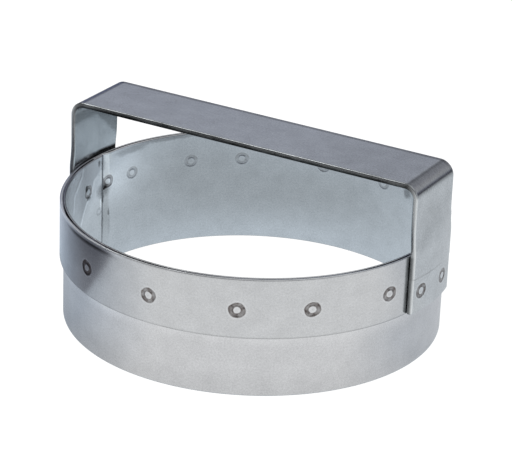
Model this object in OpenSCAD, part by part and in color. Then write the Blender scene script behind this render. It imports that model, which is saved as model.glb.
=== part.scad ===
// Round biscuit cutter with a stiffening band and a flat strap handle.
// The ring stands on its cutting edge at z = 0, centred on the z axis.
// The handle runs along x, and the ring's seam is beside the leg on the -x side.

/* [Cutting ring] */
// Outside diameter of the cutting ring
ring_d = 88.9; // [76.2:0.1:101.6]
// Height of the ring from its cutting edge to its rim
ring_h = 28.4; // [24:0.1:36]
// Thickness of the ring's sheet
ring_t = 0.4; // [0.3:0.05:0.6]
// How far the ring's two ends overlap at the seam
seam_lap = 3.2; // [2:0.1:6]
// Length over which the outer end steps out to pass over the inner end
seam_step = 2.6; // [1.5:0.1:5]
// Clearance between the two layers of the seam
seam_gap = 0.02; // [0.01:0.01:0.1]
// Angle of the seam's inner end, counted from the +x leg
seam_angle = 176.4; // [150:0.1:210]

/* [Outer band] */
// Height of the band, which ends flush with the ring's rim
band_h = 14.1; // [10:0.1:20]
// Thickness of the band's sheet
band_t = 0.45; // [0.3:0.05:0.8]
// Clearance between the seam's outer layer and the band
band_clear = 0.03; // [0.02:0.01:0.3]

/* [Handle] */
// Width of the strap
strap_w = 18.4; // [12:0.1:24]
// Thickness of the strap
strap_t = 1.3; // [0.8:0.05:1.6]
// Clear height between the ring's rim and the underside of the bar's -x end
finger_h = 16.1; // [12:0.1:26]
// How far the bar's +x end lies below its -x end
bar_drop = 0.55; // [0:0.05:1]
// How far each leg leans in above the rim
leg_lean = 1.3; // [0:0.1:2.5]
// Inside radius of the two bends
bend_r = 2.2; // [1:0.1:6]
// How much of the band's curve the legs follow, from 0 for flat to 1 for all of it
foot_wrap = 1; // [0:0.05:1]
// Height over which the legs turn from curved to flat, midway between the rim and the bend
flatten_h = 9; // [4:0.5:9]
// Height of the pressed foot, from the leg's end up to its crease
foot_h = 8.5; // [6:0.1:9.5]
// How far the foot is pressed in below the crease
foot_press = 0.05; // [0.05:0.05:0.4]
// Height of the crease itself
crease_h = 0.4; // [0.2:0.1:1]
// Clearance between the foot and the band
foot_clear = 0.06; // [0.05:0.01:0.3]

/* [Spot welds] */
// Outside diameter of a weld's ring-shaped dent
weld_d = 4.1; // [3:0.1:6]
// Diameter of the raised spot inside the dent, and of the fused metal behind it
weld_core_d = 2.2; // [1.2:0.1:2.8]
// Depth of the dent
weld_dent = 0.08; // [0.04:0.01:0.15]
// Height of the row of band welds below the rim
weld_drop = 7.4; // [4:0.1:8]
// Height of the -x leg's welds below the rim
left_weld_drop = 7.4; // [4:0.1:8]
// Height of the +x leg's welds above the leg's end
right_weld_rise = 5.1; // [3:0.1:5.5]

/* [Hidden] */
$fn = 180;

// The sheet radii, from the ring outwards
ring_r = ring_d / 2;
ring_in_r = ring_r - ring_t;
seam_out = ring_t + seam_gap;
band_in_r = ring_r + seam_out + band_clear;
band_r = band_in_r + band_t;

// The seam's angles, from the arc lengths at the ring's outside
lap_a = seam_lap / ring_r * 180 / PI;
step_a = seam_step / ring_r * 180 / PI;
step_steps = 8;

// The tongues that join the step to the sheet: their angle, and how far they lie inside the
// sheet's faces, as a share of its thickness
tongue_a = 0.3;
tongue_inset = 0.3;

// Heights of the band, the legs and the bar
band_z = ring_h - band_h;
crease_z = band_z + foot_h;
bar_z = ring_h + finger_h;

// The strap's shape: the middle of its inner face, and how far its long edges curl in
strap_hw = strap_w / 2;
foot_x = band_r + foot_clear;
edge_curl = foot_wrap * (foot_x - sqrt(foot_x * foot_x - strap_hw * strap_hw));
leg_x = foot_x + foot_press;
flat_x = leg_x - leg_lean;
strap_cols = 10;
lean_steps = 10;
bend_steps = 8;

// Welds were set by hand on the real object, so their places are unevenly spaced
band_weld_z = ring_h - weld_drop;
band_weld_angles = [-116, -91, -65, -44, -19, 26, 50, 74, 97, 124, 141, 163, 211];
left_weld_z = ring_h - left_weld_drop;
right_weld_z = band_z + right_weld_rise;
left_weld_angles = [173.8, 185];
right_weld_angles = [-7.5, 5.3];
nugget_clear = 0.01;

steel_light = [0.78, 0.79, 0.80];
steel_mid = [0.66, 0.67, 0.69];
steel_dark = [0.45, 0.42, 0.40];

function smooth(t) = let (u = min(1, max(0, t))) u * u * (3 - 2 * u);
function polar(r, a) = [r * cos(a), r * sin(a)];

// A flat wedge from angle a0 to a1, long enough to cut any sheet here
module wedge(a0, a1) {
    reach = 2 * band_r;
    mid = (a0 + a1) / 2;
    polygon([[0, 0], polar(reach, a0), polar(reach, mid), polar(reach, a1)]);
}

module annulus(r_in, r_out) {
    difference() {
        circle(r = r_out);
        circle(r = r_in);
    }
}

// The outer end of the strip leaves the ring's line and steps out by one sheet.
// A short tongue at each end reaches into the sheet that the step joins.
function step_radius(i) = ring_in_r + seam_out * smooth(i / step_steps);
function step_angle(i) = seam_angle - step_a + step_a * i / step_steps;
function tongue(r, a, shares) = [for (share = shares) polar(r + share * ring_t, a)];
function step_outline() = concat(
    tongue(ring_in_r, seam_angle - step_a - tongue_a, [1 - tongue_inset, tongue_inset]),
    [for (i = [0:step_steps]) polar(step_radius(i), step_angle(i))],
    tongue(ring_in_r + seam_out, seam_angle + tongue_a, [tongue_inset, 1 - tongue_inset]),
    [for (i = [step_steps:-1:0]) polar(step_radius(i) + ring_t, step_angle(i))]
);

// The rolled strip: its round run, its step, and the layer that laps outside the inner end
module ring_strip() {
    union() {
        linear_extrude(height = ring_h)
            difference() {
                annulus(ring_in_r, ring_r);
                wedge(seam_angle - step_a, seam_angle);
            }
        linear_extrude(height = ring_h)
            polygon(step_outline());
        linear_extrude(height = ring_h)
            intersection() {
                annulus(ring_in_r + seam_out, ring_r + seam_out);
                wedge(seam_angle, seam_angle + lap_a);
            }
    }
}

// A radial rod of diameter d between two radii, at angle a and height z
module radial_rod(a, z, d, r0, r1) {
    rotate([0, 0, a])
        translate([r0, 0, z])
            rotate([0, 90, 0])
                cylinder(d = d, h = r1 - r0);
}

// The ring-shaped groove that the electrode leaves in a face, between two radii
module weld_groove(a, z, r0, r1) {
    difference() {
        radial_rod(a, z, weld_d, r0, r1);
        radial_rod(a, z, weld_core_d, r0 - 1, r1 + 1);
    }
}

module inner_dents(angles, z) {
    for (a = angles)
        weld_groove(a, z, ring_in_r - 1, ring_in_r + weld_dent);
}

module outer_dents(angles, z, face_r) {
    for (a = angles)
        weld_groove(a, z, face_r - weld_dent, face_r + 1);
}

module cutting_ring() {
    color(steel_light)
        difference() {
            ring_strip();
            inner_dents(band_weld_angles, band_weld_z);
            inner_dents(left_weld_angles, left_weld_z);
            inner_dents(right_weld_angles, right_weld_z);
        }
}

module outer_band() {
    color(steel_light)
        difference() {
            translate([0, 0, band_z])
                linear_extrude(height = band_h)
                    annulus(band_in_r, band_r);
            outer_dents(band_weld_angles, band_weld_z, band_r);
        }
}

// Stations along the strap, each [x, z, outward x, outward z, curl of the long edges],
// for the middle of the inner face, from the +x foot up to the end of a bend at height top_z.
// The leg leans in from the rim up to the height where it is flat.
function leg_stations(top_z) =
    let (bend_z = top_z - bend_r, spare = (bend_z - ring_h - flatten_h) / 2)
    let (curved_z = ring_h + spare, lean_h = spare + flatten_h)
    concat(
        [
            [foot_x, band_z, 1, 0, 1],
            [foot_x, crease_z, 1, 0, 1],
            [leg_x, crease_z + crease_h, 1, 0, 1]
        ],
        [for (i = [0:lean_steps])
            let (t = i / lean_steps, z = ring_h + lean_h * t)
            [leg_x - leg_lean * smooth(t), z, 1, 0, 1 - smooth((z - curved_z) / flatten_h)]],
        [for (i = [0:bend_steps])
            let (a = 90 * i / bend_steps)
            [flat_x - bend_r + bend_r * cos(a), bend_z + bend_r * sin(a), cos(a), sin(a), 0]]
    );
function mirrored(s) = [-s[0], s[1], -s[2], s[3], s[4]];
function strap_stations() = let (left = leg_stations(bar_z)) concat(
    leg_stations(bar_z - bar_drop),
    [for (i = [len(left) - 1:-1:0]) mirrored(left[i])]
);

// One point of the strap at station s, a share u from -1 to 1 across it, h above the inner face
function strap_point(s, u, h) = let (off = h - s[4] * edge_curl * u * u)
    [s[0] + off * s[2], strap_hw * u, s[1] + off * s[3]];
function strap_loop(s) = concat(
    [for (k = [0:strap_cols]) strap_point(s, 2 * k / strap_cols - 1, 0)],
    [for (k = [strap_cols:-1:0]) strap_point(s, 2 * k / strap_cols - 1, strap_t)]
);

module strap() {
    stations = strap_stations();
    rows = len(stations);
    row_n = 2 * (strap_cols + 1);
    points = [for (s = stations) each strap_loop(s)];
    sides = [for (i = [0:rows - 2], k = [0:row_n - 1])
        let (a = i * row_n + k, b = i * row_n + (k + 1) % row_n)
        each [[a, b, b + row_n], [a, b + row_n, a + row_n]]];
    first_cap = [for (k = [row_n - 1:-1:0]) k];
    last_cap = [for (k = [0:row_n - 1]) (rows - 1) * row_n + k];
    polyhedron(points = points, faces = concat(sides, [first_cap, last_cap]));
}

// Distance from the ring's axis to the foot's inner face, along the radial line at angle a
// from that leg's middle
function foot_in_r(a) = let (u = foot_x * sin(a) / strap_hw)
    (foot_x - edge_curl * u * u) / cos(a);
function foot_out_r(a) = foot_in_r(a) + strap_t;

module handle() {
    color(steel_mid)
        difference() {
            strap();
            for (a = right_weld_angles)
                outer_dents([a], right_weld_z, foot_out_r(a));
            for (a = left_weld_angles)
                outer_dents([a], left_weld_z, foot_out_r(a - 180));
        }
}

// Fused metal that fills the space between the ring and the band at each weld
module sheet_nuggets(angles, z) {
    difference() {
        intersection() {
            for (a = angles)
                radial_rod(a, z, weld_core_d, ring_in_r, band_r);
            linear_extrude(height = ring_h)
                annulus(ring_r, band_in_r);
        }
        ring_strip();
    }
}

module band_welds() {
    color(steel_dark) {
        sheet_nuggets(band_weld_angles, band_weld_z);
        sheet_nuggets(left_weld_angles, left_weld_z);
        sheet_nuggets(right_weld_angles, right_weld_z);
    }
}

// Fused metal between the band and a foot. The rod's outer end just clears the foot.
// middle is the angle of the leg's middle.
module foot_nuggets(angles, z, middle) {
    half_a = asin(weld_core_d / 2 / band_r);
    for (a = angles)
        let (reach = min([for (d = [-half_a, 0, half_a]) foot_in_r(a - middle + d) * cos(d)]))
        radial_rod(a, z, weld_core_d, band_r + nugget_clear, reach - nugget_clear);
}

module handle_welds() {
    color(steel_dark) {
        foot_nuggets(left_weld_angles, left_weld_z, 180);
        foot_nuggets(right_weld_angles, right_weld_z, 0);
    }
}

cutting_ring();
outer_band();
handle();
band_welds();
handle_welds();
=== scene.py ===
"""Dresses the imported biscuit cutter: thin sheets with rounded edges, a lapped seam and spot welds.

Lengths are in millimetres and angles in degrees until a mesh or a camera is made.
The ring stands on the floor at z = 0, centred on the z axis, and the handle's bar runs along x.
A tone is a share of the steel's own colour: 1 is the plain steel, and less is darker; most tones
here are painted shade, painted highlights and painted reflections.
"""

import math
from collections import namedtuple

import bpy
import numpy as np
from mathutils import Matrix, Vector


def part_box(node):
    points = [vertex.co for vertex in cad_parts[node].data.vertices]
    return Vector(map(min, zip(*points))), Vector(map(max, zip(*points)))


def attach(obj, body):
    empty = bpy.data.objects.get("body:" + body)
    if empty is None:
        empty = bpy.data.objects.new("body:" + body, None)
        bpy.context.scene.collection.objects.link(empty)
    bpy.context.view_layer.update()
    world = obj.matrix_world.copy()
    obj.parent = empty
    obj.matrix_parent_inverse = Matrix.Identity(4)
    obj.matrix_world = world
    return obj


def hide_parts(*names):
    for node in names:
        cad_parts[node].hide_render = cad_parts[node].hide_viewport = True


MM = 0.001

# A distance past every mark and fold
FAR = 99.0

# Cutting ring
RING_RADIUS = 44.45
RING_THICK = 0.4
RING_INSIDE = RING_RADIUS - RING_THICK
SEAM_OFFSET = 0.42
SEAM_ANGLE = 176.4
SEAM_LAP = 3.2
SEAM_STEP = 2.6

# Band
BAND_THICK = 0.45

# Handle strap
STRAP_THICK = 1.3
BEND_INSIDE = 2.2
BAR_DROP = 0.55
LEG_LEAN = 1.3
FOOT_PRESS = 0.05
FOOT_HEIGHT = 8.5
CREASE_HEIGHT = 0.4
FLATTEN_HEIGHT = 9.0
LEFT_BEND_END = -41.6

# Spot welds: a ring-shaped groove round a raised spot
GROOVE_IN = 0.95
GROOVE_OUT = 2.0
GROOVE_DEPTH = 0.08
ROW_HEIGHT = 21.0
RIGHT_FOOT_HEIGHT = 19.4
ROW_ANGLES = (-116, -91, -65, -44, -19, 26, 50, 74, 97, 124, 141, 163, 211)
LEFT_ANGLES = (173.8, 185)
RIGHT_ANGLES = (-7.5, 5.3)

# Each kind of mark: its size, and how dark it is. A mark is a little wider than high, and the ghost
# is a faint small one low beside the seam.
Weld = namedtuple("Weld", "angle height size shown")
OUTSIDE_MARK = (0.95, 1.0)
BLACK_MARK = (0.95, 1.5)
BLACK_ANGLE = -116
INSIDE_MARK = (0.86, 0.3)
BURNT_MARK = (0.88, 0.75)
GHOST = Weld(178.5, 14.2, 0.6, 0.22)
MARK_FLATNESS = 0.9

# How dark a mark is by the distance from its centre, and the painted highlight on its raised spot
# and its lip
MARK_REACH = 3.0
MARK_DARK = (
    (0, 0.12),
    (0.3, 0.02),
    (0.85, 0.05),
    (1.05, 0.95),
    (1.3, 0.75),
    (1.75, 0.8),
    (1.95, 0.95),
    (2.15, 0),
)
MARK_GLINT = ((0, 0), (0.35, 0.1), (0.8, 0.22), (1, 0), (2.1, 0), (2.3, 0.1), (2.7, 0))
HEAT_BROWN = (0.14, 0.12, 0.115)
SOOT = (0.04, 0.03, 0.03)

# Stains on the ring's inner face, with patches of painted shade and painted highlights among them:
# angle, height, half width, half height, change of tone
StainOrShade = namedtuple("StainOrShade", "angle height across up change")
SEAM_STAINS_AND_GLINTS = (
    StainOrShade(176.3, 19.3, 3.5, 2.8, -0.62),
    StainOrShade(175.6, 19.8, 1.6, 1.0, -0.25),
    StainOrShade(175.2, 19.6, 0.9, 0.6, -0.4),
    StainOrShade(176.3, 22.0, 0.6, 1.4, -0.75),
    StainOrShade(176.2, 16.8, 0.8, 1.8, -0.75),
    StainOrShade(176.3, 10.6, 0.8, 5.5, -0.3),
    # painted highlights along the edge of the seam's lap
    StainOrShade(177.5, 23.4, 0.6, 1.5, 0.45),
    StainOrShade(177.5, 15.9, 0.5, 2.0, 0.45),
    StainOrShade(173.5, 12.8, 0.45, 1.2, -0.5),
    StainOrShade(173.2, 9.6, 0.5, 4.2, -0.14),
    StainOrShade(178.6, 26.7, 0.7, 1.1, -0.6),
    StainOrShade(176.2, 26.0, 1.5, 3.2, -0.42),
    StainOrShade(186.1, 22.1, 0.9, 1.0, -1.0),
    StainOrShade(184.6, 19.3, 1.2, 0.9, -0.7),
)
RIM_SHADE_AND_STAINS = (
    # painted dark reflection under the rim at the back left
    StainOrShade(164.5, 27.1, 6.6, 1.4, -0.38),
    StainOrShade(150.0, 27.9, 12.0, 0.9, -0.3),
    StainOrShade(62.8, 21.2, 1.9, 1.7, -0.4),
    StainOrShade(66.0, 22.4, 0.4, 1.2, 0.3),
)

# A stain's outline wavers by up to this much
STAIN_DRIFT = 0.9

# Painted reflections of the crumpled sheet by the seam, which the mesh doesn't crumple: where its
# darker side of painted shade begins, and its folds as lines of painted light and shade, as angle
# and height
SLATE_EDGE = (
    (192, 12),
    (190, 13.8),
    (188, 16.4),
    (186, 18.2),
    (182.5, 20.2),
    (181, 23.2),
    (177, 23.8),
    (177, 28),
)
Fold = namedtuple("Fold", "points width change")
FOLDS = (
    Fold(((177.2, 24.6), (179.5, 23.7), (181.4, 23.0), (182.6, 20.6)), 0.35, 0.3),
    Fold(((184.6, 19), (186, 18.2), (187.6, 16.6), (190, 13.8)), 0.35, 0.35),
    Fold(((188.5, 27.6), (189.3, 26), (192, 24.4), (195.5, 22.8), (196.3, 19)), 0.4, 0.35),
    Fold(((190, 26.8), (192.2, 25.2), (195, 23.9)), 0.5, -0.18),
    Fold(((196, 27.6), (198.5, 26.8)), 0.4, 0.2),
)

# Where the inner faces lie in the steel's noise, so that the two sides of a sheet differ
INNER_SIDE = 10.0

# Mesh spacing: near the welds, elsewhere on the same face, and on the faces that bear no marks
FINE = 0.2
COARSE = 0.8
FINE_REACH = 2.3
RING_PLAIN = 2.2
BAND_PLAIN = 2.0
LEG_COARSE = 0.6

# Where the mesh is fine: middle height and reach of the marks on the ring's inside and on the legs,
# and angles of the folds
RING_MARKS = (21.9, 5.6)
LEG_MARKS = (20.2, 3.9)
FOLD_PLACES = (190, 194)

# Slow dents of the rolled sheets: their depth, and the seed of their random waves
RING_DENTS = (0.015, 3)
BAND_DENTS = (0.02, 11)

# Edge radii of the cut sheet and of the strap
SHEET_EDGE = 0.18
STRAP_EDGE = 0.32

# The gap between the ring and the band: how much painted shade darkens it, how far the band fills it
# at the rim where the two are pressed together, and how open it is by the angle
GAP_SHADE = 0.9
GAP_FILL = 0.38
GAP_OPEN = (
    (0, 1),
    (188, 1),
    (198, 0),
    (217, 0),
    (227, 1),
    (235, 0.5),
    (248, 0.5),
    (255, 1),
    (270, 1),
    (284, 0),
    (322, 0),
    (334, 1),
    (360, 1),
)

# Painted shade on the top edges, dimming their reflections: the angle, the ring's edge and the
# band's
TOP_DARK = (
    (0, 0, 0),
    (246, 0, 0),
    (253, 0.93, 0.5),
    (268, 0.93, 0.8),
    (282, 0.65, 0.65),
    (294, 0.2, 0.25),
    (318, 0.15, 0.15),
    (330, 0, 0),
    (360, 0, 0),
)

# Angles between which painted shade darkens the ring's inner lip, and between which the band mirrors
# the dark card and gets a painted highlight on its lip
DARK_LIP = (192, 246)
CARD_SIDE = (210, 254)
SIDE_FADE = 8

# Tone of the strap's cut edges, from the inner face out to the outer one: partly duller cut steel,
# partly painted highlights and painted shade
EDGE_SHARES = (0, 0.1, 0.2, 0.35, 0.65, 0.85, 1)
RIGHT_EDGE = (1, 1, 0.8, 0.65, 0.7, 1.15, 1.25)
LEFT_EDGE = (1, 0.8, 0.55, 0.6, 0.9, 1.3, 1.3)
BAR_EDGE = (0.4, 0.03, 0.03, 0.08, 0.2, 0.35, 0.4)
BACK_EDGE = (0.5, 0.5, 0.5, 0.5, 0.45, 0.35, 0.35)

# Steel: noise as scale per millimetre, detail and roughness, and the usual span of such noise
GRAIN_NOISE = (1.0, 6, 0.6)
CLOUD_NOISE = (0.2, 5, 0.65)
SPECKLE_NOISE = (2.4, 1.5, 0.5)
DRIFT_NOISE = (0.8, 2, 0.5)
MARK_NOISE = (0.5, 2, 0.5)
BURN_NOISE = (0.8, 2, 0.6)
SOOT_NOISE = (1.0, 1, 0.5)
NOISE_SPAN = (0.3, 0.7)

# How much the clouds and the speckle change the tone, how many times more they do so on the strap,
# and the least tone
CLOUDS = 0.06
SPECKLE = 0.065
STRAP_MOTTLE = 1.6
DARKEST = 0.02

# Steel: each piece's colour and roughness, and the scale of its grain along, up and through a sheet
RING_COLOR = (0.73, 0.745, 0.765)
BAND_COLOR = (0.686, 0.705, 0.724)
STRAP_COLOR = (0.67, 0.705, 0.725)
WELD_COLOR = (0.4, 0.38, 0.36)
SHEET_ROUGH = 0.2
BAND_ROUGH = 0.18
WELD_ROUGH = 0.45
SHEET_GRAIN = (0.25, 6, 1)
STRAP_GRAIN = (0.25, 5, 1)

# Camera, found by fitting the ring's outline
AZIMUTH = 28.94
ELEVATION = 23.36
ROLL = 2.28
LENS = 169.3
SENSOR = 36.0
CAMERA_DISTANCE = 561.9
AIM = (0.0, 0.0, 20.0)
AIM_RIGHT = 0.34
AIM_UP = -0.29

# The floor that the camera sees, and just above it the one that the steel mirrors, in metres
FLOOR_HALF = 1.5
PAPER_HALF = 1.4
PAPER_HEIGHT = 0.0001

# The floor's light as the steel mirrors it: from front to back, and inside the ring, where a painted
# shadow darkens its middle, from its middle out to the reach in metres
PAPER_COLORS = ((0.8, 0.795, 0.79), (0.415, 0.455, 0.51))
INSIDE_COLORS = ((0.455, 0.5, 0.53), (0.63, 0.7, 0.755))
INSIDE_REACH = 0.0445

# A dark card over the floor by the band's left side: its corners, its height, the span of its light
# from front to back, and that light near the ring and far off
CARD_CORNERS = (
    (-48, -41),
    (-56, -52),
    (-62, -67),
    (-70, -95),
    (-120, -95),
    (-120, 30),
    (-60, 30),
    (-59, 5),
    (-56, -22),
)
CARD_HEIGHT = 1
CARD_SPAN = (-55, 20)
CARD_NEAR = (
    (-52, (0.15, 0.155, 0.18)),
    (-40, (0.215, 0.225, 0.255)),
    (-29, (0.27, 0.3, 0.35)),
    (-18, (0.35, 0.4, 0.47)),
    (0, (0.52, 0.6, 0.7)),
    (15, (0.56, 0.64, 0.75)),
)
CARD_FAR = (
    (-52, (0.05, 0.055, 0.07)),
    (-40, (0.085, 0.09, 0.11)),
    (-27, (0.16, 0.175, 0.21)),
    (-12, (0.31, 0.345, 0.41)),
    (16, (0.53, 0.58, 0.68)),
)

# The room's light by the sine of the height above the horizon: in front, then at the back left and
# at the sides
SKY = (
    (0.0, (0.03, 0.03, 0.04)),
    (0.07, (0.06, 0.06, 0.08)),
    (0.12, (0.14, 0.145, 0.18)),
    (0.2, (0.33, 0.33, 0.35)),
    (0.27, (0.38, 0.38, 0.39)),
    (0.38, (0.34, 0.335, 0.345)),
    (0.47, (0.24, 0.23, 0.25)),
    (0.53, (0.13, 0.125, 0.15)),
    (0.6, (0.3, 0.3, 0.3)),
    (0.8, (0.8, 0.8, 0.8)),
)
BACK_SKY = (
    (0.0, (0.18, 0.2, 0.33)),
    (0.15, (0.16, 0.18, 0.3)),
    (0.3, (0.13, 0.145, 0.22)),
    (0.335, (0.43, 0.44, 0.485)),
    (0.45, (0.5, 0.51, 0.555)),
    (0.5, (0.3, 0.31, 0.36)),
    (0.535, (0.1, 0.1, 0.13)),
    (0.6, (0.2, 0.2, 0.2)),
    (0.8, (0.8, 0.8, 0.8)),
)
BACK_LEFT = (-0.57, 0.82, 0)
SIDE_SKY = (
    (0.0, (0.5, 0.52, 0.55)),
    (0.3, (0.4, 0.41, 0.43)),
    (0.6, (0.35, 0.35, 0.36)),
    (0.8, (0.8, 0.8, 0.8)),
)

# One soft light above the left front, in metres and watts
KEY_PLACE = (-0.3, -0.1, 0.5)
KEY_SIZE = (0.3, 0.3)
KEY_POWER = 1.0


def smooth(t):
    t = np.clip(t, 0, 1)
    return t * t * (3 - 2 * t)


def rise(value, start, width):
    """0 up to start, 1 from start + width on, and smooth between."""
    return smooth((value - start) / width)


def between(value, start, end, fade):
    """1 between start and end, with a smooth fade after each."""
    return rise(value, start, fade) * (1 - rise(value, end, fade))


def peak(value, centre, width):
    """1 at the centre, falling off over the width."""
    return np.exp(-(((value - centre) / width) ** 2))


def spaced(start, end, centres, fine, coarse, reach):
    """Values from start to end, close together within reach of the centres."""
    values = [start]
    while values[-1] < end:
        near = min((abs(values[-1] - c) for c in centres), default=reach + coarse)
        step = fine if near <= reach + fine else min(coarse, max(fine, near - reach))
        values.append(values[-1] + step)
    values = np.array(values[:-1] if end - values[-2] < fine / 2 else values)
    values[-1] = end
    return values


def sheet_section(z0, z1, thick, inner_rows, outer_rows):
    """Closed loop of (z, depth) round an upright sheet, up its inner face and down its outer."""
    edge = SHEET_EDGE
    quarter = np.radians(np.linspace(0, 90, 4))
    up, run = edge * np.sin(quarter), edge * (1 - np.cos(quarter))
    loop = [(z, 0.0) for z in inner_rows]
    loop += [(z1 - edge + a, b) for a, b in zip(up, run)]
    loop += [(z1 - edge + a, thick - b) for a, b in zip(up[::-1], run[::-1])]
    loop += [(z, thick) for z in outer_rows[::-1]]
    loop += [(z0 + edge - a, thick - b) for a, b in zip(up, run)]
    loop += [(z0 + edge - a, b) for a, b in zip(up[::-1], run[::-1])]
    return np.array(loop)


def face_rows(z0, z1, centres, coarse, reach):
    """Rows between a sheet's two rounded edges, with a close row beside each edge."""
    inner = spaced(z0 + 3 * SHEET_EDGE, z1 - 3 * SHEET_EDGE, centres, FINE, coarse, reach)
    return np.concatenate(([z0 + 1.8 * SHEET_EDGE], inner, [z1 - 1.8 * SHEET_EDGE]))


def sheet_grid(start, end, marks, radius, section):
    """Angle, height and depth of each point round a sheet, close together near the marks."""
    to_angle = math.degrees(1 / radius)
    fine, coarse, reach = FINE * to_angle, COARSE * to_angle, FINE_REACH * to_angle
    angles = spaced(start, end, marks, fine, coarse, reach)
    turn, z = np.meshgrid(angles, section[:, 0], indexing="ij")
    return turn, z, np.broadcast_to(section[:, 1], turn.shape)


def swept_mesh(name, points, closed):
    """Mesh from loops of points: points[i, j] is point j of loop i, and every loop is closed."""
    loops, size = points.shape[:2]
    i = np.arange(loops if closed else loops - 1)[:, None]
    j = np.arange(size)[None, :]
    next_i, next_j = (i + 1) % loops, (j + 1) % size
    corners = (
        i * size + j,
        next_i * size + j,
        next_i * size + next_j,
        i * size + next_j,
    )
    faces = np.stack(corners, -1).reshape(-1, 4).tolist()
    if not closed:
        faces.append(list(range(size)))
        faces.append(list(range((loops - 1) * size, loops * size))[::-1])
    mesh = bpy.data.meshes.new(name)
    mesh.from_pydata((points.reshape(-1, 3) * MM).tolist(), [], faces)
    mesh.update()
    mesh.shade_smooth()
    piece = bpy.data.objects.new(name, mesh)
    bpy.context.scene.collection.objects.link(piece)
    return piece


def add_number(piece, name, values):
    attribute = piece.data.attributes.new(name, "FLOAT", "POINT")
    attribute.data.foreach_set("value", np.asarray(values, np.float32).ravel())


def add_place(piece, along, across, side):
    """Stores each point's place on the flat sheet, and its side, for grain that follows it."""
    values = np.stack((along, across, side), -1)
    attribute = piece.data.attributes.new("sheet_place", "FLOAT_VECTOR", "POINT")
    attribute.data.foreach_set("vector", np.asarray(values, np.float32).ravel())


def weld_distance(arc, z, radius, welds):
    """Distance to the nearest weld, in the size of its mark, and how dark that mark is."""
    nearest = np.full(arc.shape, FAR)
    shown = np.zeros(arc.shape)
    girth = 2 * math.pi * radius
    for weld in welds:
        side = (arc - math.radians(weld.angle) * radius + girth / 2) % girth - girth / 2
        distance = np.hypot(side, (z - weld.height) / MARK_FLATNESS) / weld.size
        shown = np.where(distance < nearest, weld.shown, shown)
        nearest = np.minimum(distance, nearest)
    return nearest, shown


def groove(distance):
    """Depth of the electrode's mark at a distance from the weld's centre."""
    t = np.clip((distance - GROOVE_IN) / (GROOVE_OUT - GROOVE_IN), 0, 1)
    return GROOVE_DEPTH * np.sin(math.pi * t) ** 2


def inside_welds():
    row = [Weld(a, ROW_HEIGHT, *INSIDE_MARK) for a in ROW_ANGLES]
    left = [Weld(a, ROW_HEIGHT, *BURNT_MARK) for a in LEFT_ANGLES]
    right = [Weld(a, RIGHT_FOOT_HEIGHT, *INSIDE_MARK) for a in RIGHT_ANGLES]
    return row + left + right


def add_marks(piece, distance, shown):
    add_number(piece, "mark_distance", np.minimum(distance, 2 * MARK_REACH))
    add_number(piece, "mark_shown", shown)


def make_ring(sizes):
    welds = inside_welds()
    rim = sizes["rim_z"]
    marks_height, marks_reach = RING_MARKS
    inner_rows = face_rows(0, rim, [marks_height], COARSE, marks_reach)
    outer_rows = face_rows(0, rim, [], RING_PLAIN, 0)
    section = sheet_section(0, rim, RING_THICK, inner_rows, outer_rows)
    lap = math.degrees(SEAM_LAP / RING_RADIUS)
    step = math.degrees(SEAM_STEP / RING_RADIUS)
    start, end = SEAM_ANGLE, SEAM_ANGLE + 360 + lap
    marks = [start + (weld.angle - start) % 360 for weld in welds]
    marks += [end - lap - step / 2, *FOLD_PLACES]
    turn, z, depth = sheet_grid(start, end, marks, RING_INSIDE, section)
    arc = np.radians(turn) * RING_INSIDE
    pressed = groove(weld_distance(arc, z, RING_INSIDE, welds)[0])
    on_lap = rise(turn, end - lap - step, step)
    face = 1 - depth / RING_THICK
    relief = pressed * face - sheet_wave(turn, z, *RING_DENTS)
    radius = RING_INSIDE + SEAM_OFFSET * on_lap + depth + relief * (1 - on_lap)
    piece = swept_mesh("ring_sheet", around_axis(radius, turn, z), False)
    distance, shown = weld_distance(arc, z, RING_INSIDE, welds + [GHOST])
    add_marks(piece, distance, shown * face)
    add_number(piece, "tone", ring_tone(sizes, turn, z, face))
    add_place(piece, arc, z, INNER_SIDE * face)
    return piece


def ring_tone(sizes, turn, z, face):
    """Tone of the ring: its inner face with painted shade on its lip, its outer face, and painted
    shade on its top edge.
    """
    rim = sizes["rim_z"]
    # painted shade along the inner lip
    lip = 0.85 * between(turn % 360, *DARK_LIP, SIDE_FADE) * rise(z, rim - 0.65, 0.2) * face
    inner = inner_tone(turn, z) * (1 - lip)
    outer = rise(1 - face, 0.7, 0.25)
    tone = (1 - outer) * inner + outer * outer_tone(sizes, turn, z)
    # painted shade on the top edge, dimming its reflection
    return tone * (1 - around(turn, TOP_DARK, 1) * rise(z, rim - 0.1, 0.08))


def inner_tone(turn, z):
    """The ring's inside: painted shade high up, painted light round the seam and beside the crumpled
    part, and the crumpled sheet's painted reflections.
    """
    # Painted shade high up, painted light round the seam and at 197 degrees, and the painted shade
    # and painted reflections of the crumpled sheet's folds
    painted_high_shade = 0.05 * rise(z, 12, 10)
    from_seam = (turn - 173 + 180) % 360 - 180
    painted_seam_light = 0.55 * peak(from_seam, 0, 13) * rise(z, 11, 13)
    edge_angles, edge_heights = np.array(SLATE_EDGE).T
    slate = rise(turn, np.interp(z, edge_heights, edge_angles), 1) * rise(z, 12, 3)
    painted_slate_shade = 0.2 * slate * (1 - rise(turn, 188, 5))
    painted_side_light = 0.1 * peak(turn, 197, 6)
    tone = (0.9 - painted_high_shade) * (1 + painted_seam_light) * (1 - painted_slate_shade) * (1 + painted_side_light)
    for fold in FOLDS:
        near = peak(line_distance(turn, z, fold.points), 0, fold.width)
        tone = tone * (1 + fold.change * near)
    return tone


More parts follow.
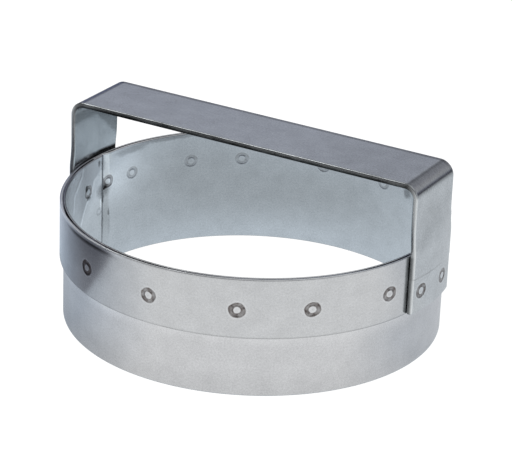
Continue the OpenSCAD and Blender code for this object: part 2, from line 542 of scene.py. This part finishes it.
def line_distance(turn, z, points):
    """Distance over the ring's inner face to a line through points of angle and height."""
    to_arc = math.radians(RING_INSIDE)
    nearest = np.full(turn.shape, FAR)
    for (angle_0, z_0), (angle_1, z_1) in zip(points, points[1:]):
        side, climb = (angle_1 - angle_0) * to_arc, z_1 - z_0
        across, up = (turn - angle_0) * to_arc, z - z_0
        share = np.clip((across * side + up * climb) / (side**2 + climb**2), 0, 1)
        nearest = np.minimum(nearest, np.hypot(across - share * side, up - share * climb))
    return nearest


def outer_tone(sizes, turn, z):
    """The ring's outside: painted shade near the floor and low on the left, painted light higher on
    the left, a painted highlight line and a painted shade line below the band, and painted shade
    behind it.
    """
    turn, below = turn % 360, sizes["band_z"] - z
    left = rise(turn, 150, 40) * (1 - rise(turn, 247, 25))
    # Painted shade near the floor, painted light and shade on the left, and a painted highlight line
    # and a painted shade line below the band
    painted_floor_shade = 0.085 * (1 - rise(z, 0, 7))
    painted_left_light = left * (0.25 * rise(z, 1, 11) - 0.12)
    painted_highlight_line = peak(below, 0.35, 0.3) * (0.14 + 0.3 * left)
    painted_shade_line = peak(below, 1.6, 0.6) * 0.12 * left
    tone = 0.965 - painted_floor_shade + painted_left_light + painted_highlight_line - painted_shade_line
    top = sizes["rim_z"] - SHEET_EDGE / 2
    # painted shade on the outside behind the band
    hidden = rise(-below, 0, 0.5) * rise(top - z, 0, 0.1)
    return tone * (1 - GAP_SHADE * hidden)


def around(turn, table, column=1):
    """A column of the table by the angle round the rim, which is its first column."""
    columns = np.array(table).T
    return np.interp(turn % 360, columns[0], columns[column])


def around_axis(radius, turn, z):
    a = np.radians(turn)
    return np.stack((radius * np.cos(a), radius * np.sin(a), z), -1)


def sheet_wave(turn, z, height, seed):
    """Slow dents and bulges of thin rolled sheet, from 0 to height."""
    rng = np.random.default_rng(seed)
    total = np.zeros(turn.shape)
    for _ in range(8):
        waves = rng.integers(5, 26)
        phase = rng.uniform(0, 360)
        tilt = rng.uniform(-12, 12)
        size = rng.uniform(0.4, 1)
        total += size * np.sin(np.radians(waves * turn + tilt * z + phase))
    return height * (0.5 + 0.5 * np.tanh(total / 2))


def make_band(sizes):
    special = {BLACK_ANGLE: BLACK_MARK}
    welds = [Weld(a, ROW_HEIGHT, *special.get(a, OUTSIDE_MARK)) for a in ROW_ANGLES]
    outside = sizes["band_r"]
    z0, z1 = sizes["band_z"], sizes["rim_z"]
    outer_rows = face_rows(z0, z1, [ROW_HEIGHT], COARSE, FINE_REACH)
    inner_rows = face_rows(z0, z1, [], BAND_PLAIN, 0)
    section = sheet_section(z0, z1, BAND_THICK, inner_rows, outer_rows)
    grid = sheet_grid(0, 360, [a % 360 for a in ROW_ANGLES], outside, section)
    turn, z, depth = (values[:-1] for values in grid)
    arc = np.radians(turn) * outside
    distance, shown = weld_distance(arc, z, outside, welds)
    face = depth / BAND_THICK
    near_rim = rise(z, z1 - 1.4, 0.5)
    radius = outside - BAND_THICK + depth - groove(distance) * face
    radius -= GAP_FILL * (1 - around(turn, GAP_OPEN)) * (1 - face) * near_rim
    radius -= sheet_wave(turn, z, *BAND_DENTS)
    piece = swept_mesh("band_sheet", around_axis(radius, turn, z), True)
    add_marks(piece, distance, shown * face)
    add_number(piece, "tone", band_tone(turn, face, z - z0, z1 - z))
    add_place(piece, arc, z, 0 * z)
    return piece


def band_tone(turn, face, up, down):
    """Tone of the band by its height above its lower edge and its depth below the rim: painted shade
    along its lower edge, in the gap and on its top edge, and a painted highlight and a painted dark
    line by its lip.
    """
    # Painted shade along the lower edge, in the gap and on the top edge; a painted highlight on the
    # lip where the band mirrors the dark card, and a painted dark line about a millimetre below the
    # rim
    painted_low_edge_shade = 0.3 * (1 - rise(up, 0.12, 0.3))
    painted_gap_shade = GAP_SHADE * (1 - face) * rise(down, 0, 0.3)
    in_card = between(turn, *CARD_SIDE, SIDE_FADE)
    painted_lip_highlight = 0.45 * in_card * face * (1 - rise(down, 0.6, 0.15))
    line_side = smooth(1.7 - np.abs(turn - 243) / 9)
    painted_dark_line = 0.9 * line_side * face * smooth(1.5 - np.abs(down - 1.0) / 0.25)
    corner, very_top = 1 - rise(down, 0.2, 0.3), 1 - rise(down, 0.02, 0.08)
    painted_top_shade = around(turn, TOP_DARK, 2) * (0.4 * corner + 0.6 * very_top)
    tone = (1 - painted_low_edge_shade) * (1 - painted_gap_shade) * (1 + painted_lip_highlight)
    return tone * (1 - painted_dark_line) * (1 - painted_top_shade)


def leg_line(sizes, top_z):
    """Stations up the +x leg to the end of a bend at height top_z.

    Each is x, z, outward x, outward z, curl of the long edges, and how much the section is inset.
    """
    leg_x = sizes["foot_x"] + FOOT_PRESS
    rim, bend_z = sizes["rim_z"], top_z - BEND_INSIDE
    spare = (bend_z - rim - FLATTEN_HEIGHT) / 2
    foot_z = sizes["band_z"]
    marks_height, marks_reach = LEG_MARKS
    top = bend_z - 0.3
    z = spaced(foot_z + STRAP_EDGE, top, [marks_height], FINE, LEG_COARSE, marks_reach)
    corner = np.radians(np.linspace(90, 0, 6))[:-1]
    z = np.concatenate((foot_z + STRAP_EDGE * (1 - np.sin(corner)), z))
    inset = np.zeros_like(z)
    inset[: len(corner)] = STRAP_EDGE * (1 - np.cos(corner))
    press = FOOT_PRESS * rise(z, foot_z + FOOT_HEIGHT, CREASE_HEIGHT)
    lean = LEG_LEAN * rise(z, rim, spare + FLATTEN_HEIGHT)
    curl = 1 - rise(z, rim + spare, FLATTEN_HEIGHT)
    x = sizes["foot_x"] + press - lean
    ones = np.ones_like(z)
    straight = np.stack((x, z, ones, 0 * z, curl, inset), -1)
    a = np.radians(np.linspace(0, 90, 25))
    out_x, out_z = np.cos(a), np.sin(a)
    bend_x = leg_x - LEG_LEAN - BEND_INSIDE + BEND_INSIDE * out_x
    bend = np.stack((bend_x, bend_z + BEND_INSIDE * out_z, out_x, out_z, 0 * a, 0 * a), -1)
    return np.concatenate((straight, bend))


def strap_line(sizes):
    leg = leg_line(sizes, sizes["bar_z"] - BAR_DROP)
    mirrored = leg_line(sizes, sizes["bar_z"])[::-1] * np.array((-1, 1, -1, 1, 1, 1))
    share = np.linspace(0, 1, 200)[1:-1, None]
    bar = leg[-1] + (mirrored[0] - leg[-1]) * share
    return np.concatenate((leg, bar, mirrored))


def strap_section(half_width):
    """Closed loop of (y, height) round the strap's section, over its outer face and back."""
    edge, top = STRAP_EDGE, STRAP_THICK
    quarter = np.radians(np.linspace(0, 90, 6))
    out, drop = edge * np.sin(quarter), edge * (1 - np.cos(quarter))
    flat = half_width - edge
    last_row = flat - 0.15
    outer = np.linspace(-last_row, last_row, 90)
    inner = np.linspace(last_row, -last_row, 40)
    side = np.linspace(top - edge, edge, 4)[1:-1]
    loop = [(y, top) for y in outer]
    loop += [(flat + a, top - b) for a, b in zip(out, drop)]
    loop += [(half_width, h) for h in side]
    loop += [(flat + a, b) for a, b in zip(out[::-1], drop[::-1])]
    loop += [(y, 0.0) for y in inner]
    loop += [(-flat - a, b) for a, b in zip(out, drop)]
    loop += [(-half_width, h) for h in side[::-1]]
    loop += [(-flat - a, top - b) for a, b in zip(out[::-1], drop[::-1])]
    return np.array(loop)


def make_strap(sizes):
    line = strap_line(sizes)
    half_width = sizes["strap_hw"]
    section = strap_section(half_width)
    x, z, out_x, out_z, curl, inset = (line[:, k : k + 1] for k in range(6))
    y, height = section[None, :, 0], section[None, :, 1]
    share = y / half_width
    y = y - inset * share
    height = inset + height * (1 - 2 * inset / STRAP_THICK)
    edge_curl = sizes["foot_x"] - math.sqrt(sizes["foot_x"] ** 2 - half_width**2)
    off = height - curl * edge_curl * share**2
    turn = np.degrees(np.arctan2(y, np.broadcast_to(x, (len(line), y.shape[1]))))
    welds = [Weld(a, RIGHT_FOOT_HEIGHT, *OUTSIDE_MARK) for a in RIGHT_ANGLES]
    welds += [Weld(a, ROW_HEIGHT, *OUTSIDE_MARK) for a in LEFT_ANGLES]
    reach = sizes["foot_x"] + STRAP_THICK
    arc = np.radians(turn) * reach
    level = np.broadcast_to(z, arc.shape)
    distance, shown = weld_distance(arc, level, reach, welds)
    low = np.broadcast_to(z < sizes["rim_z"], arc.shape)
    face = height / STRAP_THICK
    open_face = np.where(low, face, 0)
    off = off - groove(distance) * open_face
    points = np.stack((x + off * out_x, np.broadcast_to(y, off.shape), z + off * out_z), -1)
    piece = swept_mesh("strap", points, False)
    add_marks(piece, distance, shown * open_face)
    add_number(piece, "tone", strap_tone(sizes, points, face, out_z))
    steps = np.hypot(np.diff(line[:, 0]), np.diff(line[:, 1]))
    along = np.concatenate(([0], np.cumsum(steps)))[:, None]
    add_place(piece, along + 0 * off, y + 0 * off, INNER_SIDE * (1 - face))
    return piece


def strap_tone(sizes, points, face, out_z):
    """Tone of the strap: its cut edges, and painted shade along the bar's back edge, along the
    pressed line above a foot, where a leg meets the rim, over the left leg's inner face and towards
    the bar's right end.
    """
    x, y, z = (points[..., k] for k in range(3))
    half_width = sizes["strap_hw"]
    on_bar = out_z**2
    at_edge = rise(np.abs(y), half_width - 1.05 * STRAP_EDGE, 0.3 * STRAP_EDGE)
    edges = 1 + (edge_tone(x, y, face, on_bar) - 1) * at_edge
    # painted shade along the bar's back edge
    painted_back_shade = 0.45 * rise(y, half_width - 1.5, 0.3) * on_bar
    crease_z = sizes["band_z"] + FOOT_HEIGHT + 0.1
    # painted shade along the pressed line above the foot
    painted_crease_shade = 0.3 * peak(z, crease_z, 0.17) * (1 - rise(y, 1, 4)) * face
    shade_top = sizes["rim_z"] + rise(y, -9, 14) - 0.3
    # painted shade on a leg's inner face just above the rim
    painted_rim_shade = 0.93 * (1 - rise(z, shade_top, 0.6)) * (1 - face)
    # painted shade over the left leg's inner face, deeper in its upper back corner as a painted
    # reflection of the bar's underside
    corner = rise(z + 0.85 * np.maximum(y, 0), 39.6, 0.7)
    painted_left_shade = (0.07 + 0.36 * corner) * (1 - face) * (x < 0)
    # painted shade towards the bar's right end
    painted_bar_end_shade = 0.13 * rise(x, 8, 25) * on_bar
    tone = edges * (1 - painted_back_shade) * (1 - painted_crease_shade) * (1 - painted_rim_shade)
    return tone * (1 - painted_left_shade) * (1 - painted_bar_end_shade) * bend_tone(x, out_z, face)


def edge_tone(x, y, face, on_bar):
    """Tone of the strap's cut edges, partly duller cut steel and partly painted highlights and
    painted shade: in front by the leg or the bar, and alike at the back.
    """
    right, left, bar, back = (
        np.interp(face, EDGE_SHARES, tones)
        for tones in (RIGHT_EDGE, LEFT_EDGE, BAR_EDGE, BACK_EDGE)
    )
    leg = np.where(x > 0, right, left)
    # Painted light on the bar's front edge by the left bend, and painted shade over its left half
    bar_start = 0.25 * (1 - rise(x, -41, 4))
    bar = bar * (0.75 + 0.25 * rise(x, -10, 30)) + bar_start
    front = leg + (bar - leg) * on_bar
    return np.where(y < 0, front, back)


def bend_tone(x, out_z, face):
    """Painted dark reflections on the bends, where they would mirror dark parts of the room: the
    left over its top, the right by the bar.
    """
    turned = np.degrees(np.arcsin(np.clip(out_z, 0, 1)))
    left = rise(turned, 30, 20) * rise(LEFT_BEND_END - x, 0, 0.15)
    right = peak(turned, 77, 7) * (x > 0)
    return 1 - 0.45 * (left + right) * face


class Graph:
    """Adds shader nodes to a node tree. Each input is given as a value or as a socket."""

    def __init__(self, tree):
        self.nodes, self.links = tree.nodes, tree.links

    def put(self, socket, value):
        if isinstance(value, bpy.types.NodeSocket):
            self.links.new(value, socket)
        elif socket.type == "RGBA":
            socket.default_value = (*value, 1)
        else:
            socket.default_value = value

    def math(self, operation, first, second=0.0, clamp=False):
        node = self.nodes.new("ShaderNodeMath")
        node.operation = operation
        node.use_clamp = clamp
        self.put(node.inputs[0], first)
        self.put(node.inputs[1], second)
        return node.outputs[0]

    def vector(self, operation, first, second):
        node = self.nodes.new("ShaderNodeVectorMath")
        node.operation = operation
        self.put(node.inputs[0], first)
        self.put(node.inputs[1], second)
        return node.outputs["Value" if operation == "DOT_PRODUCT" else "Vector"]

    def length(self, vector):
        node = self.nodes.new("ShaderNodeVectorMath")
        node.operation = "LENGTH"
        self.put(node.inputs[0], vector)
        return node.outputs["Value"]

    def scaled(self, vector, amount):
        node = self.nodes.new("ShaderNodeVectorMath")
        node.operation = "SCALE"
        self.put(node.inputs[0], vector)
        self.put(node.inputs["Scale"], amount)
        return node.outputs["Vector"]

    def ranged(self, value, span, result, kind="LINEAR"):
        node = self.nodes.new("ShaderNodeMapRange")
        node.interpolation_type = kind
        self.put(node.inputs["Value"], value)
        for name, number in zip(("From Min", "From Max", "To Min", "To Max"), (*span, *result)):
            node.inputs[name].default_value = number
        return node.outputs["Result"]

    def mix(self, factor, first, second):
        node = self.nodes.new("ShaderNodeMix")
        node.data_type = "RGBA"
        self.put(node.inputs["Factor"], factor)
        self.put(node.inputs["A"], first)
        self.put(node.inputs["B"], second)
        return node.outputs["Result"]

    def noise(self, place, kind):
        """Noise of a kind that is given as its scale, detail and roughness."""
        node = self.nodes.new("ShaderNodeTexNoise")
        for name, number in zip(("Scale", "Detail", "Roughness"), kind):
            node.inputs[name].default_value = number
        self.put(node.inputs["Vector"], place)
        return node.outputs

    def patches(self, place, kind, result, span=NOISE_SPAN):
        """A number that varies over the place, from one end of result to the other."""
        return self.ranged(self.noise(place, kind)["Fac"], span, result)

    def attribute(self, name, output="Fac"):
        node = self.nodes.new("ShaderNodeAttribute")
        node.attribute_name = name
        return node.outputs[output]

    def ramp(self, value, stops, span=(0, 1)):
        """A colour for each stop between the two ends of span."""
        node = self.nodes.new("ShaderNodeValToRGB")
        elements = node.color_ramp.elements
        for place, color in stops:
            share = (place - span[0]) / (span[1] - span[0])
            elements.new(share).color = (*color, 1)
        elements.remove(elements[0])
        elements.remove(elements[len(elements) - 1])
        self.put(node.inputs["Fac"], self.ranged(value, span, (0, 1)))
        return node.outputs["Color"]

    def profile(self, value, stops, reach):
        """A number for each stop from 0 to reach."""
        return self.ramp(value, [(place, (number,) * 3) for place, number in stops], (0, reach))


def shaded(name):
    material = bpy.data.materials.new(name)
    material.use_nodes = True
    return material, Graph(material.node_tree), material.node_tree.nodes["Principled BSDF"]


def steel(name, color, roughness, grain, mottle=1.0, stains_and_shade=()):
    """Bright rolled steel: faint grain along the sheet, mottling, patches of stain, painted shade
    and painted highlight, the welds' heat and the marks' painted highlights, over the painted shade
    and light of the tone attribute.
    """
    material, graph, shader = shaded(name)
    place = graph.attribute("sheet_place", "Vector")
    clouds = graph.patches(place, CLOUD_NOISE, (-CLOUDS * mottle, CLOUDS * mottle))
    speckle = graph.patches(place, SPECKLE_NOISE, (-SPECKLE * mottle, SPECKLE * mottle))
    tone = graph.math("ADD", graph.attribute("tone"), graph.math("ADD", clouds, speckle))
    drift = graph.scaled(graph.noise(place, DRIFT_NOISE)["Color"], STAIN_DRIFT)
    loose = graph.vector("ADD", place, drift)
    for stain in stains_and_shade:
        tone = graph.math("ADD", tone, stain_or_shade_at(graph, loose, stain))
    # light is the marks' painted highlight, added to the tone
    light, burnt = marked(graph, place, color)
    tone = graph.math("MAXIMUM", graph.math("ADD", tone, light), DARKEST)
    graph.put(shader.inputs["Base Color"], graph.scaled(burnt, tone))
    graph.put(shader.inputs["Metallic"], 1.0)
    lines = graph.noise(graph.vector("MULTIPLY", place, grain), GRAIN_NOISE)["Fac"]
    rough = graph.ranged(lines, NOISE_SPAN, (roughness - 0.04, roughness + 0.05))
    graph.put(shader.inputs["Roughness"], rough)
    bump = graph.nodes.new("ShaderNodeBump")
    bump.inputs["Strength"].default_value = 0.05
    bump.inputs["Distance"].default_value = 0.00002
    graph.put(bump.inputs["Height"], lines)
    graph.put(shader.inputs["Normal"], bump.outputs["Normal"])
    return material


def marked(graph, place, color):
    """The painted highlight on the weld marks' raised spots and lips, and the steel's colour with
    their heat and soot.
    """
    waver = graph.patches(place, MARK_NOISE, (-0.14, 0.14))
    distance = graph.math("ADD", graph.attribute("mark_distance"), waver)
    shown = graph.attribute("mark_shown")
    # painted highlight on the raised spot and the lip
    light = graph.math("MULTIPLY", graph.profile(distance, MARK_GLINT, MARK_REACH), shown)
    dark = graph.math("MULTIPLY", graph.profile(distance, MARK_DARK, MARK_REACH), shown)
    uneven = graph.patches(place, BURN_NOISE, (0.68, 1.12), (0.38, 0.62))
    dark = graph.math("MULTIPLY", dark, uneven, clamp=True)
    spots = graph.patches(place, SOOT_NOISE, (0, 0.5), (0.55, 0.62))
    burnt = graph.mix(dark, color, HEAT_BROWN)
    return light, graph.mix(graph.math("MULTIPLY", dark, spots), burnt, SOOT)


def stain_or_shade_at(graph, place, stain):
    """The change of tone that a stain, or a patch of painted shade or highlight, makes at a place on
    the sheet.
    """
    centre, reach, change = stain
    offset = graph.vector("DIVIDE", graph.vector("SUBTRACT", place, centre), reach)
    return graph.ranged(graph.length(offset), (0.35, 1), (change, 0), "SMOOTHSTEP")


def ring_stains_and_shade():
    """Each stain and patch of painted shade or highlight by its place on the ring's sheet, whose two
    ends lap at the seam.
    """
    drift = STAIN_DRIFT / 2
    turned = [(stain, turn) for stain in SEAM_STAINS_AND_GLINTS for turn in (0, 360)]
    turned += [(stain, 360) for stain in RIM_SHADE_AND_STAINS]
    places = []
    for stain, turn in turned:
        arc = math.radians(stain.angle + turn) * RING_INSIDE
        centre = (arc + drift, stain.height + drift, INNER_SIDE + drift)
        places.append((centre, (stain.across, stain.up, INNER_SIDE / 2), stain.change))
    return places


def dress(piece, material, node):
    piece.data.materials.append(material)
    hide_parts(node)
    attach(piece, "root")


def make_camera():
    azimuth, elevation, roll = (math.radians(v) for v in (AZIMUTH, ELEVATION, ROLL))
    level = Vector((math.cos(azimuth), math.sin(azimuth), 0))
    outward = Vector((math.sin(azimuth), -math.cos(azimuth), 0))
    back = math.cos(elevation) * outward + math.sin(elevation) * Vector((0, 0, 1))
    upright = back.cross(level)
    right = math.cos(roll) * level + math.sin(roll) * upright
    up = math.cos(roll) * upright - math.sin(roll) * level
    place = Vector(AIM) + CAMERA_DISTANCE * back + AIM_RIGHT * right + AIM_UP * up
    data = bpy.data.cameras.new("camera")
    data.lens = LENS
    data.sensor_width = SENSOR
    camera = bpy.data.objects.new("camera", data)
    turn = Matrix((right, up, back)).transposed().to_4x4()
    camera.matrix_world = Matrix.Translation(place * MM) @ turn
    bpy.context.scene.collection.objects.link(camera)
    bpy.context.scene.camera = camera


def make_floor():
    """The pale floor that the camera sees, with a very faint shadow where the ring stands."""
    floor = stage_mesh("floor", square(FLOOR_HALF, 0), [(0, 1, 2, 3)])
    material = glow("pale_floor", 1.0)
    shader = material.node_tree.nodes["Principled BSDF"]
    shader.inputs["Base Color"].default_value = (0.12, 0.12, 0.12, 1)
    shader.inputs["Roughness"].default_value = 0.9
    floor.data.materials.append(material)
    floor.visible_glossy = False


def square(half, height):
    corners = ((-half, -half), (half, -half), (half, half), (-half, half))
    return [(x, y, height) for x, y in corners]


def only_mirrored(piece):
    piece.visible_camera = False
    piece.visible_diffuse = False
    piece.visible_shadow = False


def make_paper():
    """The floor as the steel mirrors it: bright in front, bluer behind, dim far off, and darker
    inside the ring as a painted shadow.
    """
    paper = stage_mesh("paper", square(PAPER_HALF, PAPER_HEIGHT), [(0, 1, 2, 3)])
    material, graph, shader = shaded("paper")
    place = graph.nodes.new("ShaderNodeTexCoord").outputs["Object"]
    reach = graph.length(place)
    offset = graph.vector("SUBTRACT", place, (0, 0.009, 0))
    spread = graph.length(graph.vector("DIVIDE", offset, (0.035, 0.024, 1)))
    # painted shadow inside the ring, darkest a little behind its middle
    inside = graph.mix(graph.ranged(spread, (0.45, 1.2), (0, 1)), *INSIDE_COLORS)
    within = graph.math("LESS_THAN", reach, INSIDE_REACH)
    light_up(graph, shader, graph.mix(within, outside_paper(graph, place, reach), inside))
    paper.data.materials.append(material)
    only_mirrored(paper)


def outside_paper(graph, place, reach):
    """Light of the mirrored floor outside the ring, by the place and its reach from the axis, with a
    painted shadow to its left near the ring.
    """
    leftward = graph.math("DIVIDE", graph.vector("DOT_PRODUCT", place, (-1, 0, 0)), reach)
    backward = graph.vector("DOT_PRODUCT", place, (0, 1, 0))
    far_left = graph.math("SUBTRACT", leftward, graph.math("MULTIPLY", reach, 3.0))
    # painted shadow to the left of the ring, deepest near it
    left = graph.ranged(far_left, (-0.03, 0.6), (0, 1))
    beside = graph.ranged(backward, (-0.025, 0.0), (0, 0.55))
    beside = graph.math("MULTIPLY", beside, graph.ranged(reach, (0.06, 0.078), (1, 0)))
    back = graph.math("MAXIMUM", graph.ranged(backward, (-0.005, 0.03), (0, 0.5)), beside)
    color = graph.mix(graph.math("ADD", left, back, clamp=True), *PAPER_COLORS)
    near = graph.ranged(reach, (0.1, 0.3), (1, 0.62))
    sideways = graph.ranged(graph.math("ABSOLUTE", leftward), (0.8, 0.95), (0, 0.85))
    far = graph.math("MAXIMUM", graph.ranged(reach, (0.3, 1.3), (1, 0.2)), sideways)
    return graph.scaled(color, graph.math("MULTIPLY", near, far))


def light_up(graph, shader, color, strength=1.0):
    shader.inputs["Base Color"].default_value = (0, 0, 0, 1)
    shader.inputs["Specular IOR Level"].default_value = 0.0
    shader.inputs["Emission Strength"].default_value = strength
    graph.put(shader.inputs["Emission Color"], color)


def make_world():
    """A dark room with a grey wall behind, paler walls at the sides, and light from overhead."""
    world = bpy.data.worlds.new("studio")
    bpy.context.scene.world = world
    world.use_nodes = True
    graph = Graph(world.node_tree)
    direction = graph.nodes.new("ShaderNodeTexCoord").outputs["Generated"]
    height = graph.vector("DOT_PRODUCT", direction, (0, 0, 1))
    back_left = graph.vector("DOT_PRODUCT", direction, BACK_LEFT)
    sideways = graph.math("ABSOLUTE", graph.vector("DOT_PRODUCT", direction, (1, 0, 0)))
    front, back, side = (graph.ramp(height, sky) for sky in (SKY, BACK_SKY, SIDE_SKY))
    color = graph.mix(graph.ranged(back_left, (0.45, 0.85), (0, 1)), front, back)
    color = graph.mix(graph.ranged(sideways, (0.8, 0.95), (0, 1)), color, side)
    graph.put(graph.nodes["Background"].inputs["Color"], color)


def make_backdrop():
    """A pale wall that only the camera sees, so that low views have a plain background."""
    radius, height, sides = 1.45, 1.2, 64
    turns = [2 * math.pi * k / sides for k in range(sides)]
    ring = [(radius * math.cos(t), radius * math.sin(t)) for t in turns]
    points = [(x, y, 0) for x, y in ring] + [(x, y, height) for x, y in ring]
    faces = [(k, (k + 1) % sides, sides + (k + 1) % sides, sides + k) for k in range(sides)]
    wall = stage_mesh("backdrop", points, faces)
    wall.data.materials.append(glow("pale_wall", 1.05))
    wall.visible_glossy = False
    wall.visible_diffuse = False
    wall.visible_shadow = False


def make_card():
    """A dark card that the camera doesn't see, but the band's left side mirrors."""
    points = [(x * MM, y * MM, CARD_HEIGHT * MM) for x, y in CARD_CORNERS]
    card = stage_mesh("dark_card", points, [tuple(range(len(points)))])
    material, graph, shader = shaded("dark_card")
    place = graph.nodes.new("ShaderNodeTexCoord").outputs["Object"]
    forward = graph.vector("DOT_PRODUCT", place, (0, 1 / MM, 0))
    outward = graph.vector("DOT_PRODUCT", place, (-1 / MM, 0, 0))
    near, far = (graph.ramp(forward, stops, CARD_SPAN) for stops in (CARD_NEAR, CARD_FAR))
    light_up(graph, shader, graph.mix(graph.ranged(outward, (62, 88), (0, 1)), near, far))
    card.data.materials.append(material)
    only_mirrored(card)


def stage_mesh(name, points, faces):
    mesh = bpy.data.meshes.new(name)
    mesh.from_pydata(points, [], faces)
    piece = bpy.data.objects.new(name, mesh)
    bpy.context.scene.collection.objects.link(piece)
    return piece


def glow(name, strength):
    """A white surface that gives its own light."""
    material, graph, shader = shaded(name)
    light_up(graph, shader, (1, 1, 1), strength)
    return material


def make_light(name, place, size, power):
    data = bpy.data.lights.new(name, "AREA")
    data.shape = "RECTANGLE"
    data.size, data.size_y = size
    data.energy = power
    light = bpy.data.objects.new(name, data)
    light.location = place
    light.rotation_euler = (-Vector(place)).to_track_quat("-Z", "Y").to_euler()
    bpy.context.scene.collection.objects.link(light)


def read_sizes():
    """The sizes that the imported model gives, in millimetres."""
    ring_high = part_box("cutting_ring")[1] / MM
    band_low, band_high = (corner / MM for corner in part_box("outer_band"))
    handle_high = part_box("handle")[1] / MM
    return {
        "rim_z": ring_high.z,
        "band_r": band_high.y,
        "band_z": band_low.z,
        "foot_x": handle_high.x - STRAP_THICK - FOOT_PRESS,
        "strap_hw": handle_high.y,
        "bar_z": handle_high.z - STRAP_THICK,
    }


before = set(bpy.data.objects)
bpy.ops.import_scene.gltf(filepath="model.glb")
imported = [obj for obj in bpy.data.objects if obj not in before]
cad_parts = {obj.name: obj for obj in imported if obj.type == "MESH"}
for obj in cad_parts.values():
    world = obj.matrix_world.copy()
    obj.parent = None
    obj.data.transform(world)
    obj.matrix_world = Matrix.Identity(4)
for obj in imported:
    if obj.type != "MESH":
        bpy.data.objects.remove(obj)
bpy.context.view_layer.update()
sizes = read_sizes()

make_camera()
make_floor()
make_paper()
make_world()
make_backdrop()
make_card()
make_light("key", KEY_PLACE, KEY_SIZE, KEY_POWER)

ring_steel = steel("sheet_steel", RING_COLOR, SHEET_ROUGH, SHEET_GRAIN, stains_and_shade=ring_stains_and_shade())
band_steel = steel("stiff_band_steel", BAND_COLOR, BAND_ROUGH, SHEET_GRAIN)
bar_steel = steel("bar_steel", STRAP_COLOR, SHEET_ROUGH, STRAP_GRAIN, STRAP_MOTTLE)
weld_steel, _, weld_shader = shaded("fused_steel")
weld_shader.inputs["Base Color"].default_value = (*WELD_COLOR, 1)
weld_shader.inputs["Metallic"].default_value = 1.0
weld_shader.inputs["Roughness"].default_value = WELD_ROUGH

dress(make_ring(sizes), ring_steel, "cutting_ring")
dress(make_band(sizes), band_steel, "outer_band")
dress(make_strap(sizes), bar_steel, "handle")
for name in ("band_welds", "handle_welds"):
    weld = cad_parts[name]
    weld.data.materials.clear()
    weld.data.materials.append(weld_steel)

bpy.context.scene.view_settings.view_transform = "Standard"
